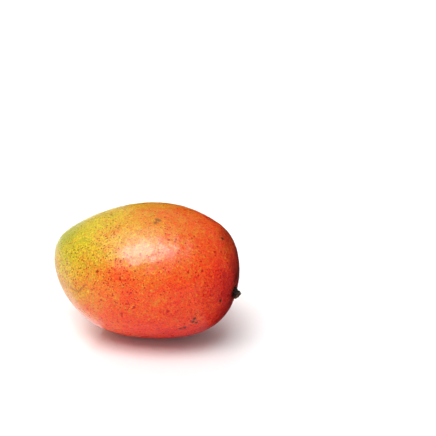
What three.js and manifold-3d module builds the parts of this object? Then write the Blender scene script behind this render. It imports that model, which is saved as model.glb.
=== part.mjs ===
// A ripe mango lying on its flatter cheek, with the short woody stub of its stem.
// Millimetres, +Z up. The fruit's length runs along X, with the stem end at +X and the tip at -X.
// Its beaked edge faces -Y and its fuller back faces +Y. The origin is on the surface that the
// fruit rests on, under the middle of the whole part.

import * as THREE from "three";
import { mergeVertices } from "three/addons/utils/BufferGeometryUtils.js";
import Module from "manifold-3d";

const wasm = await Module();
wasm.setup();

// Driving dimensions of the fruit
const LENGTH = 118; // from the tip to the stem end
const HALF_WIDTH = 47; // beaked edge to back, at mid-length
const HALF_THICKNESS = 40.4; // cheek to cheek, at mid-length

// How the form changes along its length, as polynomials in t, lowest power first.
// t runs from -1 at the tip to +1 at the stem end.
const WIDTH_PROFILE = [1, 0.055, -0.06, 0.078, -0.049];
const THICKNESS_PROFILE = [1, 0.059, -0.01, 0.155, 0.155];
const MIDLINE_Y = [0, 0.34, -2.15, -3.9]; // millimetres
const MIDLINE_Z = [0, 1.9, -2.9, -2.8, 7.5]; // millimetres

// The beak: a low swelling on the edge that faces -Y, near the tip
const BEAK_TOWARDS = new THREE.Vector3(-0.5, -0.86, -0.05).normalize();
const BEAK_RISE = 0.9;
const BEAK_RADIUS = 9;

// The hollow round the stem, and the spot that the fruit rests on
const STEM_TOWARDS = new THREE.Vector3(0.985, -0.01, -0.165).normalize();
const HOLLOW_DEPTH = 1.6;
const HOLLOW_RADIUS = 7;
const REST_FLAT = 0.8; // how far the fruit is flattened under its own weight

// The stem stub, along its own axis from the bottom of its pit
const STEM_LEAN = new THREE.Vector3(0.77, -0.36, -0.53).normalize();
const STEM_LENGTH = 7.2;
const STEM_COLLAR_RADIUS = 2.6;
const STEM_COLLAR_REACH = 0.35; // share of the length over which the collar fades
const STEM_WAIST_RADIUS = 2.1;
const STEM_END_RADIUS = 2.4;
const STEM_END_SWELLING = [0.6, 0.95]; // shares of the length where the end swells
const STEM_END_ROUNDING = 0.6;
const STEM_DOME_SHOULDER = [0.7, 0.7]; // shares of the end's radius and of its rounding
const STEM_RIBS = 7;
const STEM_RIB_DEPTH = 0.2;
const STEM_RIB_RUNOUT = 2; // ribs fade out over this height above the pit
const PIT_DEPTH = 2.4;
const PIT_GAP = 0.3; // between the stem and its pit

// Mesh resolution
const FRUIT_SEGMENTS = 60;
const FRUIT_RINGS = 44;
const RING_CROWDING = 1.3; // above 1, rings lie closer together at the stem
const STEM_SEGMENTS = 28;
const STEM_PROFILE_STEPS = 12;
const WELD = 1e-4; // corners closer than this are one corner

const polynomial = (terms, t) => terms.reduceRight((sum, term) => sum * t + term, 0);

// The plain form: a ball whose width, thickness and midline change along its length.
function plainForm(towards) {
  const t = towards.x;
  const width = HALF_WIDTH * polynomial(WIDTH_PROFILE, t);
  const thickness = HALF_THICKNESS * polynomial(THICKNESS_PROFILE, t);
  return new THREE.Vector3(
    (LENGTH / 2) * t,
    polynomial(MIDLINE_Y, t) + width * towards.y,
    polynomial(MIDLINE_Z, t) + thickness * towards.z,
  );
}

// A bell-shaped weight, 1 at the centre and fading out over the radius.
const bell = (point, centre, radius) => Math.exp(-point.distanceToSquared(centre) / radius ** 2);

const beakCentre = plainForm(BEAK_TOWARDS);
const stemCentre = plainForm(STEM_TOWARDS);

// The fruit's skin in a direction from its middle, with the beak and the hollow round the stem.
function skin(towards) {
  const point = plainForm(towards);
  const beak = BEAK_RISE * bell(point, beakCentre, BEAK_RADIUS);
  const hollow = HOLLOW_DEPTH * bell(point, stemCentre, HOLLOW_RADIUS);
  return point.addScaledVector(BEAK_TOWARDS, beak).addScaledVector(STEM_TOWARDS, -hollow);
}

// A ball of rings round the stem, closer together there, carried onto the skin.
function fruitGeometry() {
  const ball = new THREE.SphereGeometry(1, FRUIT_SEGMENTS, FRUIT_RINGS);
  const turn = new THREE.Quaternion().setFromUnitVectors(new THREE.Vector3(0, 1, 0), STEM_TOWARDS);
  const position = ball.getAttribute("position");
  const towards = new THREE.Vector3();
  const polar = new THREE.Spherical();
  for (let i = 0; i < position.count; i++) {
    polar.setFromVector3(towards.fromBufferAttribute(position, i));
    polar.phi = Math.PI * (polar.phi / Math.PI) ** RING_CROWDING;
    const point = skin(towards.setFromSpherical(polar).applyQuaternion(turn));
    position.setXYZ(i, point.x, point.y, point.z);
  }
  return ball;
}

// Flattens a geometry's underside at a height.
function flattenBelow(geometry, height) {
  const position = geometry.getAttribute("position");
  for (let i = 0; i < position.count; i++) {
    position.setZ(i, Math.max(position.getZ(i), height));
  }
}

// A solid of revolution about Z, from [radius, height] pairs that start and end on the axis.
function turned(profile, segments) {
  const points = profile.map(([radius, height]) => new THREE.Vector2(radius, height));
  return new THREE.LatheGeometry(points, segments).rotateX(Math.PI / 2);
}

// The stub's radius at a share of its length: a collar, a waist and a slightly swollen broken end.
function stemRadius(share) {
  const collar = Math.exp(-((share / STEM_COLLAR_REACH) ** 2));
  const end = THREE.MathUtils.smoothstep(share, ...STEM_END_SWELLING);
  return (
    STEM_WAIST_RADIUS +
    (STEM_COLLAR_RADIUS - STEM_WAIST_RADIUS) * collar +
    (STEM_END_RADIUS - STEM_WAIST_RADIUS) * end
  );
}

// The stub stands on Z with its foot at 0. Ribs run up its side, and its end is a shallow dome.
function stemGeometry() {
  const sideHeight = STEM_LENGTH - STEM_END_ROUNDING;
  const [shoulderRadius, shoulderRise] = STEM_DOME_SHOULDER;
  const profile = [[0, 0]];
  for (let i = 0; i <= STEM_PROFILE_STEPS; i++) {
    const share = i / STEM_PROFILE_STEPS;
    profile.push([stemRadius(share), share * sideHeight]);
  }
  profile.push([STEM_END_RADIUS * shoulderRadius, sideHeight + STEM_END_ROUNDING * shoulderRise]);
  profile.push([0, STEM_LENGTH]);
  const stub = turned(profile, STEM_SEGMENTS);
  const position = stub.getAttribute("position");
  for (let i = 0; i < position.count; i++) {
    const x = position.getX(i);
    const y = position.getY(i);
    const height = position.getZ(i) - PIT_DEPTH;
    const depth = STEM_RIB_DEPTH * THREE.MathUtils.smoothstep(height, 0, STEM_RIB_RUNOUT);
    const swell = 1 + (depth / STEM_WAIST_RADIUS) * Math.cos(STEM_RIBS * Math.atan2(y, x));
    position.setXY(i, x * swell, y * swell);
  }
  return stub;
}

// The pit that the stub's foot stands in, a little wider than the foot.
function pitGeometry() {
  const radius = STEM_COLLAR_RADIUS + PIT_GAP;
  const profile = [
    [0, -PIT_GAP],
    [radius, -PIT_GAP],
    [radius, STEM_LENGTH],
    [0, STEM_LENGTH],
  ];
  return turned(profile, STEM_SEGMENTS);
}

// A closed geometry as a solid that can be cut.
function solidOf(geometry) {
  const bare = geometry.clone().deleteAttribute("normal").deleteAttribute("uv");
  const welded = mergeVertices(bare, WELD);
  const corners = welded.index.array;
  const triangles = [];
  for (let i = 0; i < corners.length; i += 3) {
    const triangle = [corners[i], corners[i + 1], corners[i + 2]];
    if (new Set(triangle).size === 3) {
      triangles.push(...triangle);
    }
  }
  const mesh = new wasm.Mesh({
    numProp: 3,
    vertProperties: welded.getAttribute("position").array,
    triVerts: new Uint32Array(triangles),
  });
  return new wasm.Manifold(mesh);
}

// A solid as a geometry again.
function geometryOf(solid) {
  const { vertProperties, triVerts } = solid.getMesh();
  const geometry = new THREE.BufferGeometry();
  geometry.setAttribute("position", new THREE.BufferAttribute(vertProperties, 3));
  geometry.setIndex(new THREE.BufferAttribute(triVerts, 1));
  geometry.computeVertexNormals();
  return geometry;
}

// The stub's foot stands below the bottom of the hollow, along the stem's lean.
const stemFoot = skin(STEM_TOWARDS).addScaledVector(STEM_LEAN, -PIT_DEPTH);
const stemTurn = new THREE.Quaternion().setFromUnitVectors(new THREE.Vector3(0, 0, 1), STEM_LEAN);

const form = fruitGeometry();
form.computeBoundingBox();
const restHeight = form.boundingBox.min.z + REST_FLAT;
flattenBelow(form, restHeight);

const pit = pitGeometry().applyQuaternion(stemTurn).translate(...stemFoot);
const fruitSolid = solidOf(form).subtract(solidOf(pit));

const skinMaterial = new THREE.MeshStandardMaterial({ color: 0xe2652f, roughness: 0.42, metalness: 0 });
const woodMaterial = new THREE.MeshStandardMaterial({ color: 0x3a2a1e, roughness: 0.85, metalness: 0 });

const fruit = new THREE.Mesh(geometryOf(fruitSolid), skinMaterial);
fruit.name = "mango_fruit";

const stem = new THREE.Mesh(geometryOf(solidOf(stemGeometry())), woodMaterial);
stem.name = "stem_stub";
stem.quaternion.copy(stemTurn);
stem.position.copy(stemFoot);

const mango = new THREE.Group();
mango.add(fruit, stem);

// The origin goes under the middle of the whole part, on the surface it rests on.
const middle = new THREE.Box3().setFromObject(mango, true).getCenter(new THREE.Vector3());
mango.position.set(-middle.x, -middle.y, -restHeight);

export default mango;
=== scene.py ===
# A ripe mango lying on its cheek, with its stem stub, in plain studio light.
# Metres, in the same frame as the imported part: +X towards the stem end, -Y towards the beaked edge.
import math

import bpy
import numpy as np
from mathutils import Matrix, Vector


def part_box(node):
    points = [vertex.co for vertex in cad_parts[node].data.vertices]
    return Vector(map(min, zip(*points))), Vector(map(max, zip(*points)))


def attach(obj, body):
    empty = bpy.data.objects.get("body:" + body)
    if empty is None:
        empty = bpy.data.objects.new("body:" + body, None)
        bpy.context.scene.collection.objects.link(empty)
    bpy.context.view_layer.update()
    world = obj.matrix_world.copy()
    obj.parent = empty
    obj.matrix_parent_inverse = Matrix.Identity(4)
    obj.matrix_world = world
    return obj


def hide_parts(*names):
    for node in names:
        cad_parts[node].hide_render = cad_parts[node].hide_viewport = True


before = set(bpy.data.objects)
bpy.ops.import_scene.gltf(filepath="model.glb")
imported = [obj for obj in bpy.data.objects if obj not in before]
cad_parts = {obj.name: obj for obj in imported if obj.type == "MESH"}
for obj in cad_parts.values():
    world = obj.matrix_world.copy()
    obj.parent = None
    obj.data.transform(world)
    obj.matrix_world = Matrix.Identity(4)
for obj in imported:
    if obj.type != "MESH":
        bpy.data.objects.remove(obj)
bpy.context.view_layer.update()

# The fruit's form, as in the part. Profiles and midlines are polynomials in t, lowest power first.
# t runs from -1 at the tip to +1 at the stem end.
LENGTH = 0.118
HALF_WIDTH = 0.047
HALF_THICKNESS = 0.0404
WIDTH_PROFILE = [1, 0.055, -0.06, 0.078, -0.049]
THICKNESS_PROFILE = [1, 0.059, -0.01, 0.155, 0.155]
MIDLINE_Y = [0, 0.00034, -0.00215, -0.0039]
MIDLINE_Z = [0, 0.0019, -0.0029, -0.0028, 0.0075]
BEAK_TOWARDS = (-0.5, -0.86, -0.05)
BEAK_RISE = 0.0009
BEAK_RADIUS = 0.009
STEM_TOWARDS = (0.985, -0.01, -0.165)
HOLLOW_DEPTH = 0.0016
HOLLOW_RADIUS = 0.007
REST_FLAT = 0.0008

# The stem stub, as in the part. The collar's reach and the end's swelling are shares of its length.
STEM_LEAN = (0.77, -0.36, -0.53)
STEM_LENGTH = 0.0072
STEM_COLLAR_RADIUS = 0.0026
STEM_COLLAR_REACH = 0.35
STEM_WAIST_RADIUS = 0.0021
STEM_END_RADIUS = 0.0024
STEM_END_SWELLING = (0.6, 0.95)
STEM_END_ROUNDING = 0.0006
PIT_DEPTH = 0.0024
PIT_GAP = 0.0003

# Finer form than the part has. Waves are layers of a size, a wavelength and a seed.
# Each layer is a number of waves, whose own wavelengths lie within a span of factors.
WAVE_COUNT = 48
WAVE_SPAN = (0.8, 1.25)
SKIN_WAVES = [(0.00015, 0.034, 1), (0.00004, 0.0065, 2), (0.000012, 0.0024, 3)]
REST_ROUNDING = 0.00012
NEAR_STEM = 3 * HOLLOW_RADIUS
PIT_LIP = (STEM_COLLAR_RADIUS + 0.6 * PIT_GAP, STEM_COLLAR_RADIUS + 1.6 * PIT_GAP)
STEM_WAVES = [(0.00010, 0.0016, 6), (0.00004, 0.0007, 7)]
STEM_ROUGH_FROM = (0.6 * PIT_DEPTH, 1.4 * PIT_DEPTH)

# The stub's ribs, a little shallower than in the part
STEM_RIBS = 7
STEM_RIB_SHARE = 0.07  # of the radius
STEM_RIB_RUNOUT = (0.2, 0.5)  # shares of the length over which they rise

# The crease at the beak, like a tick mark: where it bends, how far each arm runs, and how deep it is
CREASE_BEND = (-0.0278, -0.0403, -0.0018)
CREASE_ARMS = (-0.0090, 0.0052)
CREASE_RISE = 1.1  # how steeply the arm towards the stem end rises
CREASE_ROUNDING = 0.0007
CREASE_FADE = 0.0012
CREASE_REACH = 0.015
CREASE_HALF_WIDTH = 0.00055
CREASE_DEPTH = 0.00030

# Mesh resolution, and the shares of the stub's rings that make its foot and its end
FRUIT_SEGMENTS = 480
FRUIT_RINGS = 320
RING_CROWDING = 1.4  # above 1, rings lie closer together at the stem
STEM_SEGMENTS = 96
STEM_RINGS = 64
STEM_FOOT_SHARE = 0.08
STEM_END_SHARE = 0.16

# The photograph's frame and viewing angle
PHOTO_SIDE = 436
FORM_PIXEL = (146.5, 268.9)
PIXELS_PER_METRE = 1626
VIEW_AZIMUTH = 20
VIEW_ELEVATION = 22
VIEW_DISTANCE = 0.624
SENSOR_MM = 36

# Light panels, each with its direction from the fruit and its roll about its own axis in degrees.
# The key lights the fruit, and the key gloss and key core are what the fruit's gloss shows of it.
KEY = {"direction": (-0.06, -0.38, 0.92), "distance": 4.5, "size": (3.7, 3.1), "radiance": 5.0}
KEY_GLOSS = {
    "direction": (-0.31, -0.30, 0.90),
    "distance": 4.5,
    "size": (4.5, 6.5),
    "radiance": 4.1,
    "roll": 58,
}
KEY_CORE = {
    "direction": (-0.160, -0.425, 0.90),
    "distance": 4.4,
    "size": (2.2, 3.1),
    "radiance": 21.0,
    "roll": -15,
}
FRONT_FILL = {"direction": (-0.12, -1.0, 0.14), "distance": 4.5, "size": (3.4, 1.55), "radiance": 1.9}
BACK_FILL = {"direction": (-0.48, 0.68, 0.60), "distance": 4.5, "size": (3.4, 2.6), "radiance": 3.2}
WALL_RADIANCE = 0.40

# Cards that only the fruit's gloss shows, by their corners, and the radiance of each. A dark card
# leans away from the stem end, a dark card stands behind the fruit, and a pale card lies by the tip.
CARD_LIFT = 0.0005  # above the floor
STEM_CARD = [
    (0.045, -0.01, CARD_LIFT),
    (0.045, 0.10, CARD_LIFT),
    (0.11, 0.10, 0.06),
    (0.11, -0.06, 0.06),
    (0.072, -0.06, 0.0252),
]
BACK_CARD = [(-0.06, 0.10, 0.0), (0.30, 0.10, 0.0), (0.30, 0.10, 0.14), (-0.06, 0.10, 0.14)]
TIP_CARD = [
    (-0.10, -0.09, CARD_LIFT),
    (-0.027, -0.09, CARD_LIFT),
    (-0.027, 0.005, CARD_LIFT),
    (-0.10, 0.005, CARD_LIFT),
]
DARK_RADIANCE = 0.02
PALE_RADIANCE = 1.6

# The pale floor
FLOOR_HALF_SIDE = 8.0
FLOOR_COLOUR = (0.93, 0.93, 0.93, 1)
FLOOR_ROUGHNESS = 0.7

# Blush: 0 is green yellow, 1 is deep red. It grows along the fruit and towards its underside.
# It is lost over a span of directions towards the back, and over one near the green end.
BLUSH_MIDDLE = 0.585
BLUSH_ALONG = 0.35
BLUSH_DOWN = 0.31
BLUSH_LOST_AT_BACK = 0.12
BACK_SPAN = (0.25, 0.95)
GREEN_TOWARDS = (-0.87, -0.12, 0.47)
GREEN_SPAN = (0.89, 1.0)
GREEN_STRENGTH = 0.20
BLUSH_WAVES = [(0.03, 0.035, 4), (0.02, 0.011, 9)]

# Patches of blush: a place from the fruit's middle, a radius, and what the patch adds there
BLUSH_PATCHES = [
    # On top
    ((0.0300, 0.0000, 0.0370), 0.024, 0.06),
    ((0.0148, -0.0055, 0.0397), 0.020, 0.11),
    ((-0.0040, -0.0005, 0.0395), 0.013, 0.06),
    ((0.0270, -0.0270, 0.0305), 0.010, 0.06),
    ((0.0380, -0.0192, 0.0305), 0.012, 0.04),
    # On the front, towards the tip
    ((-0.0385, -0.0249, 0.0186), 0.016, -0.08),
    ((-0.0350, -0.0345, 0.0010), 0.012, -0.06),
    # Yellower at the lower edge, partly the skin's own colour and partly a painted reflection of the
    # pale floor
    ((-0.0300, -0.0370, -0.0090), 0.009, -0.10),
    # A red patch in the middle of the front
    ((-0.0018, -0.0452, 0.0109), 0.014, 0.13),
    ((-0.0110, -0.0430, 0.0125), 0.009, 0.05),
    ((-0.0096, -0.0442, 0.0103), 0.008, 0.04),
    ((-0.0040, -0.0436, 0.0150), 0.006, 0.06),
    ((0.0049, -0.0452, 0.0117), 0.006, 0.05),
    ((0.0040, -0.0468, 0.0020), 0.009, 0.04),
    # Its paler upper edge, partly the skin's own colour and partly a painted highlight where the soft
    # tail of the gloss falls
    ((-0.0140, -0.0370, 0.0225), 0.009, -0.08),
    ((-0.0073, -0.0395, 0.0210), 0.006, -0.07),
    ((0.0117, -0.0419, 0.0179), 0.006, -0.10),
    # On the front, towards the stem
    ((0.0215, -0.0430, 0.0085), 0.012, -0.05),
    ((0.0290, -0.0390, -0.0125), 0.012, -0.05),
    ((0.0400, -0.0345, -0.0140), 0.012, -0.04),
    ((0.0434, -0.0339, -0.0065), 0.018, -0.08),
    ((0.0387, -0.0378, 0.0033), 0.008, 0.06),
    ((0.0520, -0.0165, -0.0115), 0.012, 0.09),
    # A small tan patch beside the stem
    ((0.0564, -0.0045, -0.0108), 0.0028, -0.55),
]

# Painted shade: the skin is darkened on the shoulder behind the stem, below the stem and all round it,
# where shadow falls near the stem end
SHOULDER_TOWARDS = (0.9, 0.35, 0.2)
SHOULDER_SPAN = (0.76, 1.0)
SHOULDER_WAVES = [(0.03, 0.012, 10)]
SHOULDER_SHADE = 0.65
BELOW_STEM = (0.052, -0.012, -0.016)
BELOW_STEM_RADIUS = 0.010
BELOW_STEM_SHADE = 0.35
ROUND_STEM_RADIUS = 0.016
ROUND_STEM_SHADE = 0.5
PIT_STAIN = (STEM_COLLAR_RADIUS, STEM_COLLAR_RADIUS + 4 * PIT_GAP)

# The share of places that hold a dark speck, and what waves, the underside and each patch add to it.
# Patches have a place from the fruit's middle and a radius.
SPECK_SHARE = 0.25
SPECK_WAVES = [(0.10, 0.025, 5), (0.10, 0.009, 8)]
SPECKS_BELOW = 0.25
BELOW_SPAN = (0.1, 0.6)
SPECKS_IN_PATCH = 0.8
SPECK_PATCHES = [
    ((-0.0360, -0.0310, 0.0110), 0.013),
    ((-0.0010, -0.0452, 0.0112), 0.014),
    ((-0.0150, -0.0230, 0.0330), 0.010),
]
SPECK_LIMITS = (0.08, 0.95)

# Dark spots and brown smudges, by their places from the fruit's middle
SPOT_RADIUS = 0.0011
SPOTS = [
    (0.0323, -0.0339, -0.0203),
    (0.0347, -0.0332, -0.0199),
    (0.0397, -0.0331, -0.0156),
    (0.0409, -0.0337, -0.0132),
    (0.0413, -0.0313, -0.0168),
    (0.0502, -0.0069, 0.0273),
    (0.0536, -0.0235, -0.0047),
]
SMUDGE_RADIUS = 0.0012
SMUDGES = [(0.0122, -0.0144, 0.0381), (0.0142, -0.0148, 0.0378), (0.0125, -0.0174, 0.0371)]

# Colours, in linear light. The grain of the blush is layers of a scale and a size.
BLUSH_COLOURS = [
    (0.0, (0.38, 0.360, 0.008)),
    (0.08, (0.53, 0.435, 0.014)),
    (0.17, (0.58, 0.412, 0.015)),
    (0.30, (0.60, 0.293, 0.016)),
    (0.45, (0.63, 0.190, 0.015)),
    (0.58, (0.67, 0.116, 0.010)),
    (0.72, (0.71, 0.058, 0.008)),
    (0.80, (0.71, 0.038, 0.007)),
    (0.92, (0.62, 0.014, 0.008)),
    (1.0, (0.48, 0.008, 0.005)),
]
BLUSH_GRAIN = [(70, 0.10), (240, 0.26), (700, 0.54), (1500, 0.85)]
# The painted shade near the stem end mixes the skin towards this dark red
SHADE_COLOUR = (0.16, 0.004, 0.003, 1)
PIT_COLOUR = (0.030, 0.011, 0.006, 1)
SPECK_TINT_ON_RED = (0.56, 0.08, 0.18, 1)
SPECK_TINT_ON_YELLOW = (0.45, 0.13, 0.16, 1)
SMUDGE_COLOUR = (0.17, 0.070, 0.020, 1)
SPOT_COLOUR = (0.075, 0.018, 0.010, 1)
CREASE_COLOUR = (0.27, 0.080, 0.020, 1)
# The wood's colours: its own dark brown, darkened further by painted shade
WOOD_AND_SHADE_COLOURS = [
    (0.30, (0.005, 0.0035, 0.003)),
    (0.55, (0.020, 0.012, 0.007)),
    (0.80, (0.075, 0.045, 0.024)),
]
TORN_WOOD_COLOUR = (0.13, 0.060, 0.030, 1)
TORN_FROM = (0.82, 0.90)  # shares of the stub's rings

# Dots on the skin. Their scales are per metre, and their radii and edges are shares of a net's cell.
FLECKS = {"scale": 620, "radius": 0.42, "soft": 0.16, "share": 0.6}
LENTICELS = {"scale": 640, "radius": 0.43, "soft": 0.08}
LARGE_SPECKS = {"scale": 260, "radius": 0.27, "soft": 0.06}
PORES = {"scale": 950, "radius": 0.45, "soft": 0.2, "share": 0.6}
SMALLEST_DOT = 0.6  # share of the largest one's radius
HALO_WIDTH = 0.3
DOT_WOBBLE = 0.0005  # metres

# How strongly each texture shows
FLECK_BLUSH_LOST = 0.16
FLECK_LIGHT = 0.06
HALO_LIGHT = 0.14
LARGE_SPECKS_KEPT = 0.5  # of the share of places that hold a speck
PORE_DARKNESS = 0.38
GRAIN_ON_RED = 0.42
GRAIN_GAINED_ON_YELLOW = 0.64
SPOT_RAGGEDNESS = 0.4
SPECK_SINKING = 0.5
COARSE_BUMPS = 1.2


def unit(vector):
    vector = np.array(vector, float)
    return vector / np.linalg.norm(vector)


def polynomial(terms, t):
    return sum(term * t**power for power, term in enumerate(terms))


def smoothstep(low, high, value):
    share = np.clip((value - low) / (high - low), 0, 1)
    return share * share * (3 - 2 * share)


def bell(points, centre, radius):
    """A weight of 1 at the centre that fades out over the radius."""
    return np.exp(-((points - np.array(centre)) ** 2).sum(-1) / radius**2)


def waves(points, wavelength, seed):
    """A smooth random field of about unit size, made of waves in random directions."""
    draw = np.random.default_rng(seed)
    directions = draw.normal(size=(WAVE_COUNT, 3))
    directions /= np.linalg.norm(directions, axis=1)[:, None]
    lengths = wavelength * draw.uniform(*WAVE_SPAN, WAVE_COUNT)
    phases = draw.uniform(0, 2 * np.pi, WAVE_COUNT)
    field = np.cos(2 * np.pi * (points @ directions.T) / lengths + phases).sum(-1)
    return field * math.sqrt(2 / WAVE_COUNT)


def layered_waves(points, layers):
    return sum(size * waves(points, wavelength, seed) for size, wavelength, seed in layers)


def angles(count):
    """Evenly spaced angles round a full turn."""
    return 2 * np.pi * np.arange(count) / count


def circle(axis, around):
    """Unit directions at right angles to an axis, at angles around it. The axis isn't along Y."""
    side = unit(np.cross([0, 1, 0], axis))
    other = np.cross(axis, side)
    return np.cos(around)[:, None] * side + np.sin(around)[:, None] * other


stem_towards = unit(STEM_TOWARDS)
beak_towards = unit(BEAK_TOWARDS)
stem_lean = unit(STEM_LEAN)


def plain_form(towards):
    """A ball whose width, thickness and midline change along its length."""
    t = towards[..., 0]
    width = HALF_WIDTH * polynomial(WIDTH_PROFILE, t)
    thickness = HALF_THICKNESS * polynomial(THICKNESS_PROFILE, t)
    return np.stack(
        [
            LENGTH / 2 * t,
            polynomial(MIDLINE_Y, t) + width * towards[..., 1],
            polynomial(MIDLINE_Z, t) + thickness * towards[..., 2],
        ],
        -1,
    )


beak_centre = plain_form(beak_towards)
stem_centre = plain_form(stem_towards)


def skin(towards):
    """The fruit's surface in each direction from its middle, with the beak and the stem's hollow."""
    points = plain_form(towards)
    beak = BEAK_RISE * bell(points, beak_centre, BEAK_RADIUS)
    hollow = HOLLOW_DEPTH * bell(points, stem_centre, HOLLOW_RADIUS)
    return points + beak[..., None] * beak_towards - hollow[..., None] * stem_towards


stem_foot = skin(stem_towards) - PIT_DEPTH * stem_lean


def ball_directions(segments, rings):
    """Directions on rings round the stem, crowded towards it, with one at each pole."""
    polar = np.pi * (np.arange(1, rings) / rings) ** RING_CROWDING
    ring = circle(stem_towards, angles(segments))
    inner = np.cos(polar)[:, None, None] * stem_towards + np.sin(polar)[:, None, None] * ring
    return np.concatenate([[stem_towards], inner.reshape(-1, 3), [-stem_towards]])


def ball_faces(segments, rings):
    """Quads between the rings and triangles at the two poles."""
    last = segments * (rings - 1) + 1
    here = np.arange(segments)
    after = (here + 1) % segments
    faces = [(0, 1 + a, 1 + b) for a, b in zip(here, after)]
    for ring in range(rings - 2):
        top = 1 + ring * segments
        low = top + segments
        faces += [(top + a, low + a, low + b, top + b) for a, b in zip(here, after)]
    top = 1 + (rings - 2) * segments
    faces += [(top + a, last, top + b) for a, b in zip(here, after)]
    return faces


def mesh_object(name, points, faces):
    mesh = bpy.data.meshes.new(name)
    mesh.from_pydata(points.tolist(), [], [tuple(int(i) for i in face) for face in faces])
    mesh.polygons.foreach_set("use_smooth", np.ones(len(mesh.polygons), bool))
    mesh.update()
    piece = bpy.data.objects.new(name, mesh)
    bpy.context.scene.collection.objects.link(piece)
    return piece


def paint(piece, name, values):
    """Stores one number per vertex, for the material to read."""
    attribute = piece.data.attributes.new(name, "FLOAT", "POINT")
    attribute.data.foreach_set("value", np.asarray(values, np.float32))


class Graph:
    """Builds a material's or a world's nodes in a few short calls."""

    def __init__(self, tree):
        self.tree = tree
        self.tree.nodes.clear()

    def node(self, kind, inputs=None, **settings):
        made = self.tree.nodes.new(kind)
        for key, value in settings.items():
            setattr(made, key, value)
        for key, value in (inputs or {}).items():
            if isinstance(value, bpy.types.NodeSocket):
                self.tree.links.new(value, made.inputs[key])
            else:
                made.inputs[key].default_value = value
        return made

    def math(self, operation, first, second=0.0, third=0.0):
        inputs = {0: first, 1: second, 2: third}
        return self.node("ShaderNodeMath", inputs, operation=operation).outputs[0]

    def mix(self, share, first, second, blend="MIX"):
        inputs = {0: share, 6: first, 7: second}
        return self.node("ShaderNodeMix", inputs, data_type="RGBA", blend_type=blend).outputs[2]

    def scaled(self, colour, factor):
        inputs = {"Vector": colour, "Scale": factor}
        return self.node("ShaderNodeVectorMath", inputs, operation="SCALE").outputs["Vector"]

    def step(self, value, low, high, to_low=0.0, to_high=1.0):
        inputs = {"Value": value, "From Min": low, "From Max": high, "To Min": to_low, "To Max": to_high}
        made = self.node("ShaderNodeMapRange", inputs, interpolation_type="SMOOTHSTEP")
        return made.outputs["Result"]

    def ramp(self, value, stops):
        made = self.node("ShaderNodeValToRGB", {"Fac": value})
        elements = made.color_ramp.elements
        while len(elements) < len(stops):
            elements.new(0.5)
        for element, (position, colour) in zip(elements, stops):
            element.position = position
            element.color = (*colour, 1)
        return made.outputs["Color"]

    def noise(self, place, scale, detail=2.0, roughness=0.5):
        inputs = {"Vector": place, "Scale": scale, "Detail": detail, "Roughness": roughness}
        return self.node("ShaderNodeTexNoise", inputs).outputs["Fac"]

    def painted(self, name):
        return self.node("ShaderNodeAttribute", attribute_name=name).outputs["Fac"]


class SkinGraph(Graph):
    """A graph with the textures of fruit skin."""

    def __init__(self, tree):
        super().__init__(tree)
        self.place = self.node("ShaderNodeTexCoord").outputs["Object"]
        wobble = self.node("ShaderNodeTexNoise", {"Vector": self.place, "Scale": 1500, "Detail": 1.0})
        inputs = {0: wobble.outputs["Color"], 1: (DOT_WOBBLE, DOT_WOBBLE, DOT_WOBBLE), 2: self.place}
        moved = self.node("ShaderNodeVectorMath", inputs, operation="MULTIPLY_ADD")
        self.moved = moved.outputs["Vector"]

    def uneven(self, scale, size, detail=2.0):
        """Noise that swings about nothing, by about a given size."""
        return self.math("MULTIPLY_ADD", self.noise(self.place, scale, detail), size, -size / 2)

    def dots(self, scale, radius, soft, share):
        """Round dots in a share of the cells of a random net, and the halo round each dot."""
        cells = self.node("ShaderNodeTexVoronoi", {"Vector": self.moved, "Scale": scale}, feature="F1")
        draw = self.node("ShaderNodeSeparateColor", {"Color": cells.outputs["Color"]})
        smallest = radius * SMALLEST_DOT
        size = self.math("MULTIPLY_ADD", draw.outputs["Red"], radius - smallest, smallest)
        depth = self.math("SUBTRACT", size, cells.outputs["Distance"])
        there = self.math("LESS_THAN", draw.outputs["Green"], share)
        inside = self.math("MULTIPLY", self.step(depth, low=0.0, high=soft), there)
        halo = self.math("MULTIPLY", self.step(depth, low=-HALO_WIDTH, high=0.0), there)
        return inside, self.math("SUBTRACT", halo, inside)


def new_material(name, kind=Graph):
    material = bpy.data.materials.new(name)
    material.use_nodes = True
    return material, kind(material.node_tree)


def ground_colour(graph, yellow, flecks):
    """The blush with its grain and pale flecks, the painted shade near the stem and the stain in the
    pit.
    """
    blush = graph.painted("blush")
    for scale, size in BLUSH_GRAIN:
        blush = graph.math("ADD", blush, graph.uneven(scale, size))
    red = graph.math("SUBTRACT", 1.0, yellow)
    blush = graph.math("MULTIPLY_ADD", graph.math("MULTIPLY", flecks, red), -FLECK_BLUSH_LOST, blush)
    colour = graph.ramp(blush, BLUSH_COLOURS)
    # Painted shade near the stem end
    colour = graph.mix(graph.painted("shade"), colour, SHADE_COLOUR)
    ragged_pit = graph.math("ADD", graph.painted("pit"), graph.uneven(scale=900, size=0.7))
    return graph.mix(graph.step(ragged_pit, low=0.25, high=0.75), colour, PIT_COLOUR)


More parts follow.
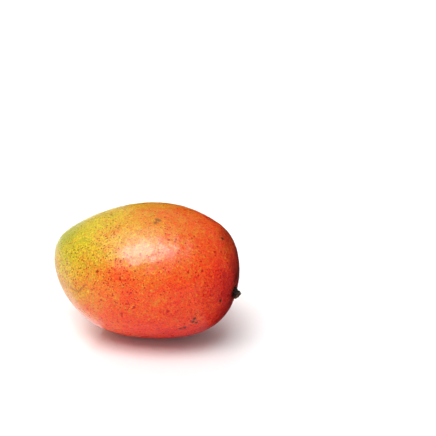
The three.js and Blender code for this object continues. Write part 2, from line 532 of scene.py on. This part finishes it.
def with_specks(graph, colour, yellow, flecks):
    """The colour with fine light and dark grain and dark specks, and where the specks are."""
    specks = graph.painted("specks")
    lenticels, halos = graph.dots(**LENTICELS, share=specks)
    fewer = graph.math("MULTIPLY", specks, LARGE_SPECKS_KEPT)
    large, _ = graph.dots(**LARGE_SPECKS, share=fewer)
    pores, _ = graph.dots(**PORES)
    marks = graph.math("MAXIMUM", lenticels, large)
    marks = graph.math("MAXIMUM", marks, graph.math("MULTIPLY", pores, PORE_DARKNESS))

    fine = graph.uneven(scale=1000, size=1.7, detail=1.0)
    grain = graph.math("ADD", fine, graph.uneven(scale=500, size=0.3))
    strength = graph.math("MULTIPLY_ADD", yellow, GRAIN_GAINED_ON_YELLOW, GRAIN_ON_RED)
    light = graph.math("MULTIPLY", strength, grain)
    light = graph.math("MULTIPLY_ADD", halos, HALO_LIGHT, light)
    light = graph.math("MULTIPLY_ADD", flecks, FLECK_LIGHT, light)
    colour = graph.scaled(colour, graph.math("ADD", light, 1.0))

    tint = graph.mix(yellow, SPECK_TINT_ON_RED, SPECK_TINT_ON_YELLOW)
    dark = graph.mix(1.0, colour, tint, blend="MULTIPLY")
    return graph.mix(marks, colour, dark), marks


def with_blemishes(graph, colour):
    """The colour with brown smudges, dark spots and the brown line of the crease."""
    ragged = graph.uneven(scale=1500, size=1.4)
    smudges = graph.math("ADD", graph.painted("smudges"), ragged)
    colour = graph.mix(graph.step(smudges, low=0.2, high=0.6, to_high=0.8), colour, SMUDGE_COLOUR)
    spots = graph.math("MULTIPLY_ADD", ragged, SPOT_RAGGEDNESS, graph.painted("spots"))
    colour = graph.mix(graph.step(spots, low=0.3, high=0.55), colour, SPOT_COLOUR)
    across = graph.math("ADD", graph.painted("crease_across"), graph.uneven(scale=900, size=0.5))
    line = graph.step(graph.math("ABSOLUTE", across), low=0.2, high=1.1, to_low=0.6, to_high=0.0)
    return graph.mix(graph.math("MULTIPLY", line, graph.painted("crease_along")), colour, CREASE_COLOUR)


def skin_material():
    """Waxy skin that blushes from yellow to red, with dark specks, spots and a brown crease."""
    material, graph = new_material("mango_skin", SkinGraph)
    yellow = graph.step(graph.painted("blush"), low=0.15, high=0.60, to_low=1.0, to_high=0.0)
    flecks, _ = graph.dots(**FLECKS)
    colour = ground_colour(graph, yellow, flecks)
    colour, marks = with_specks(graph, colour, yellow, flecks)
    colour = with_blemishes(graph, colour)

    height = graph.math("MULTIPLY_ADD", marks, -SPECK_SINKING, graph.noise(graph.place, scale=1000))
    coarse = graph.noise(graph.place, scale=380, detail=1)
    height = graph.math("MULTIPLY_ADD", coarse, COARSE_BUMPS, height)
    bump = graph.node("ShaderNodeBump", {"Height": height, "Strength": 0.5, "Distance": 0.0001})
    wax = graph.noise(graph.place, scale=160, detail=3)
    shader = graph.node(
        "ShaderNodeBsdfPrincipled",
        {
            "Base Color": colour,
            "Roughness": graph.step(wax, low=0.3, high=0.7, to_low=0.26, to_high=0.34),
            "Specular IOR Level": 0.20,
            "Coat Weight": 0.04,
            "Coat Roughness": 0.2,
            "Normal": bump.outputs["Normal"],
        },
    )
    graph.node("ShaderNodeOutputMaterial", {"Surface": shader.outputs["BSDF"]})
    return material


def wood_and_shade_material():
    """Dark dry wood, whose near-black is partly its own dark brown and partly painted shade, with paler
    splinters where its end is torn.
    """
    material, graph = new_material("stem_wood")
    place = graph.node("ShaderNodeTexCoord").outputs["Object"]
    grain = graph.noise(place, scale=900, detail=5, roughness=0.65)
    colour = graph.ramp(grain, WOOD_AND_SHADE_COLOURS)
    splinters = graph.step(graph.noise(place, scale=1400, detail=3), low=0.40, high=0.62)
    torn = graph.math("MULTIPLY", splinters, graph.painted("broken_end"))
    colour = graph.mix(torn, colour, TORN_WOOD_COLOUR)
    bump = graph.node("ShaderNodeBump", {"Height": grain, "Strength": 0.6, "Distance": 0.0003})
    shader = graph.node(
        "ShaderNodeBsdfPrincipled",
        {
            "Base Color": colour,
            "Roughness": graph.step(grain, low=0.3, high=0.7, to_low=0.9, to_high=0.7),
            "Specular IOR Level": 0.2,
            "Normal": bump.outputs["Normal"],
        },
    )
    graph.node("ShaderNodeOutputMaterial", {"Surface": shader.outputs["BSDF"]})
    return material


def crease_lines(points):
    """How far each point is across the crease's line and whether it lies along it."""
    outward = unit(CREASE_BEND)
    aside = unit(np.cross([0, 0, 1], outward))
    above = np.cross(outward, aside)
    from_bend = points - np.array(CREASE_BEND)
    run = from_bend @ aside
    line = CREASE_RISE * (run + np.sqrt(run**2 + CREASE_ROUNDING**2)) / 2
    across = from_bend @ above - line
    start, end = CREASE_ARMS
    begun = smoothstep(start - CREASE_FADE, start + CREASE_FADE, run)
    ended = smoothstep(end - CREASE_FADE, end + CREASE_FADE, run)
    near = np.linalg.norm(from_bend, axis=1) < CREASE_REACH
    return across, begun * (1 - ended) * near


def about_stem(points):
    """Each point's height along the stub's axis, its distance from it, and if it is near the stem."""
    from_foot = points - stem_foot
    height = from_foot @ stem_lean
    radius = np.linalg.norm(from_foot - height[:, None] * stem_lean, axis=1)
    near = np.linalg.norm(points - stem_centre, axis=1) < NEAR_STEM
    return height, radius, near


def paint_blush(piece, towards, form):
    x, y, z = towards.T
    blush = BLUSH_MIDDLE + BLUSH_ALONG * x - BLUSH_DOWN * z
    blush -= BLUSH_LOST_AT_BACK * smoothstep(*BACK_SPAN, y)
    blush -= GREEN_STRENGTH * smoothstep(*GREEN_SPAN, towards @ unit(GREEN_TOWARDS))
    for centre, radius, strength in BLUSH_PATCHES:
        blush += strength * bell(form, centre, radius)
    paint(piece, "blush", blush + layered_waves(form, BLUSH_WAVES))


def paint_shade(piece, towards, form):
    # Painted shade: darker on the shoulder behind the stem, below it and all round it
    shoulder = towards @ unit(SHOULDER_TOWARDS) + layered_waves(form, SHOULDER_WAVES)
    shade = SHOULDER_SHADE * smoothstep(*SHOULDER_SPAN, shoulder)
    shade += BELOW_STEM_SHADE * bell(form, BELOW_STEM, BELOW_STEM_RADIUS)
    shade += ROUND_STEM_SHADE * bell(form, stem_centre, ROUND_STEM_RADIUS)
    paint(piece, "shade", shade)


def paint_specks(piece, towards, form):
    specks = SPECK_SHARE + layered_waves(form, SPECK_WAVES)
    specks += SPECKS_BELOW * smoothstep(*BELOW_SPAN, -towards[:, 2])
    for centre, radius in SPECK_PATCHES:
        specks += SPECKS_IN_PATCH * bell(form, centre, radius)
    paint(piece, "specks", np.clip(specks, *SPECK_LIMITS))


def make_fruit():
    """The fruit's skin, and how far the form's middle lies from the part's origin."""
    towards = ball_directions(FRUIT_SEGMENTS, FRUIT_RINGS)
    form = skin(towards)
    across, along = crease_lines(form)
    groove = CREASE_DEPTH * along * np.exp(-((across / CREASE_HALF_WIDTH) ** 2))
    points = form + (layered_waves(form, SKIN_WAVES) - groove)[:, None] * towards

    # The rest spot is flat, with a softly rounded edge
    rest = form[:, 2].min() + REST_FLAT
    over = (points[:, 2] - rest) / REST_ROUNDING
    points[:, 2] = rest + REST_ROUNDING * np.logaddexp(0, over)

    # The skin round the stub's foot sinks into the pit
    height, radius, near = about_stem(points)
    sunk = near * (1 - smoothstep(*PIT_LIP, radius))
    points -= (sunk * (height + PIT_GAP))[:, None] * stem_lean

    # The fruit goes where the part has it
    low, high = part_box("mango_fruit")
    middle = (points.min(0) + points.max(0)) / 2
    shift = np.array([(low.x + high.x) / 2 - middle[0], (low.y + high.y) / 2 - middle[1], -rest])
    piece = mesh_object("mango_fruit_skin", points + shift, ball_faces(FRUIT_SEGMENTS, FRUIT_RINGS))

    paint_blush(piece, towards, form)
    paint_shade(piece, towards, form)
    paint_specks(piece, towards, form)
    paint(piece, "pit", near * (1 - smoothstep(*PIT_STAIN, radius)))
    paint(piece, "spots", sum(bell(form, centre, SPOT_RADIUS) for centre in SPOTS))
    paint(piece, "smudges", sum(bell(form, centre, SMUDGE_RADIUS) for centre in SMUDGES))
    paint(piece, "crease_across", across * 1000)  # in millimetres
    paint(piece, "crease_along", along)
    piece.data.materials.append(skin_material())
    return piece, shift


def stem_radius(share):
    """The stub's radius at a share of its length: a collar, a waist and a slightly swollen end."""
    collar = np.exp(-((share / STEM_COLLAR_REACH) ** 2))
    end = smoothstep(*STEM_END_SWELLING, share)
    return (
        STEM_WAIST_RADIUS
        + (STEM_COLLAR_RADIUS - STEM_WAIST_RADIUS) * collar
        + (STEM_END_RADIUS - STEM_WAIST_RADIUS) * end
    )


def make_stem(shift):
    """The ribbed stub, in rings from the middle of its foot to the middle of its broken end."""
    steps = np.arange(1, STEM_RINGS) / STEM_RINGS
    foot = np.clip(steps / STEM_FOOT_SHARE, 0, 1)
    wall = np.clip((steps - STEM_FOOT_SHARE) / (1 - STEM_FOOT_SHARE - STEM_END_SHARE), 0, 1)
    end = np.clip(1 - (1 - steps) / STEM_END_SHARE, 0, 1)
    dome = STEM_END_RADIUS * np.sqrt(1 - end**3)
    radius = np.where(end > 0, dome, foot * stem_radius(wall))
    height = wall * (STEM_LENGTH - STEM_END_ROUNDING) + STEM_END_ROUNDING * smoothstep(0, 1, end)

    around = angles(STEM_SEGMENTS)
    runout = smoothstep(*STEM_RIB_RUNOUT, wall)
    ribs = 1 + STEM_RIB_SHARE * runout[:, None] * np.cos(STEM_RIBS * around)
    rings = (radius[:, None] * ribs)[..., None] * circle(stem_lean, around)
    rings += height[:, None, None] * stem_lean
    points = np.concatenate([[np.zeros(3)], rings.reshape(-1, 3), [STEM_LENGTH * stem_lean]])

    # Above the pit the wood is rough
    along = points @ stem_lean
    rough = smoothstep(*STEM_ROUGH_FROM, along) * layered_waves(points, STEM_WAVES)
    from_axis = points - along[:, None] * stem_lean
    points += from_axis / STEM_WAIST_RADIUS * rough[:, None]

    faces = ball_faces(STEM_SEGMENTS, STEM_RINGS)
    piece = mesh_object("stem_stub_wood", points + stem_foot + shift, faces)
    torn = np.repeat(smoothstep(*TORN_FROM, steps), STEM_SEGMENTS)
    paint(piece, "broken_end", np.concatenate([[0], torn, [1]]))
    piece.data.materials.append(wood_and_shade_material())
    return piece


fruit, shift = make_fruit()
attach(fruit, "root")
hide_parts("mango_fruit")

stem = make_stem(shift)
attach(stem, "root")
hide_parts("stem_stub")


def make_floor():
    side = FLOOR_HALF_SIDE
    corners = np.array([(-side, -side, 0), (side, -side, 0), (side, side, 0), (-side, side, 0)])
    floor = mesh_object("floor", corners, [range(len(corners))])
    material, graph = new_material("pale_floor")
    inputs = {"Base Color": FLOOR_COLOUR, "Roughness": FLOOR_ROUGHNESS}
    shader = graph.node("ShaderNodeBsdfPrincipled", inputs)
    graph.node("ShaderNodeOutputMaterial", {"Surface": shader.outputs["BSDF"]})
    floor.data.materials.append(material)


def make_card(name, corners, radiance):
    """A glowing or dark card that only the fruit's gloss shows."""
    card = mesh_object(name, np.array(corners), [range(len(corners))])
    material, graph = new_material(name)
    shader = graph.node("ShaderNodeEmission", {"Strength": radiance})
    graph.node("ShaderNodeOutputMaterial", {"Surface": shader.outputs["Emission"]})
    card.data.materials.append(material)
    card.visible_camera = False
    card.visible_diffuse = False
    card.visible_shadow = False


def make_light(name, direction, distance, size, radiance, roll=0, diffuse=True, glossy=True):
    """A panel that faces the fruit and lights it, is mirrored in its gloss, or both."""
    data = bpy.data.lights.new(name, "AREA")
    data.shape = "RECTANGLE"
    data.size, data.size_y = size
    data.energy = radiance * math.pi * size[0] * size[1]
    light = bpy.data.objects.new(name, data)
    target = Vector((0, 0, HALF_THICKNESS))
    light.location = target + Vector(unit(direction)) * distance
    light.rotation_euler = (target - light.location).to_track_quat("-Z", "Y").to_euler()
    light.rotation_euler.rotate_axis("Z", math.radians(roll))
    light.visible_diffuse = diffuse
    light.visible_glossy = glossy
    bpy.context.scene.collection.objects.link(light)


def make_world():
    world = bpy.data.worlds.new("studio")
    world.use_nodes = True
    graph = Graph(world.node_tree)
    background = graph.node("ShaderNodeBackground", {"Color": (1, 1, 1, 1), "Strength": WALL_RADIANCE})
    graph.node("ShaderNodeOutputWorld", {"Surface": background.outputs["Background"]})
    bpy.context.scene.world = world


def make_camera(middle):
    """A level camera that sees the form's middle at its pixel, from the viewing angle."""
    azimuth = math.radians(VIEW_AZIMUTH)
    elevation = math.radians(VIEW_ELEVATION)
    focal_pixels = PIXELS_PER_METRE * VIEW_DISTANCE
    across = (FORM_PIXEL[0] - PHOTO_SIDE / 2) / focal_pixels
    above = (PHOTO_SIDE / 2 - FORM_PIXEL[1]) / focal_pixels
    steepness = math.sin(elevation) * math.sqrt((1 + across**2 + above**2) / (1 + above**2))
    pitch = -math.asin(steepness) - math.atan(above)
    turn = math.atan2(across, math.cos(pitch) - above * math.sin(pitch))
    back = Vector(
        (
            math.sin(azimuth) * math.cos(elevation),
            -math.cos(azimuth) * math.cos(elevation),
            math.sin(elevation),
        )
    )
    data = bpy.data.cameras.new("camera")
    data.sensor_width = SENSOR_MM
    data.lens = SENSOR_MM * focal_pixels / PHOTO_SIDE
    camera = bpy.data.objects.new("camera", data)
    camera.location = Vector(middle) + back * VIEW_DISTANCE
    camera.rotation_euler = (math.pi / 2 + pitch, 0, azimuth + turn)
    bpy.context.scene.collection.objects.link(camera)
    bpy.context.scene.camera = camera


make_floor()
make_world()
make_card("stem_card", STEM_CARD, DARK_RADIANCE)
make_card("back_card", BACK_CARD, DARK_RADIANCE)
make_card("tip_card", TIP_CARD, PALE_RADIANCE)
make_light("key", **KEY, glossy=False)
make_light("key_gloss", **KEY_GLOSS, diffuse=False)
make_light("key_core", **KEY_CORE, diffuse=False)
make_light("front_fill", **FRONT_FILL, glossy=False)
make_light("back_fill", **BACK_FILL, glossy=False)
make_camera(shift)
bpy.context.scene.view_settings.view_transform = "Standard"
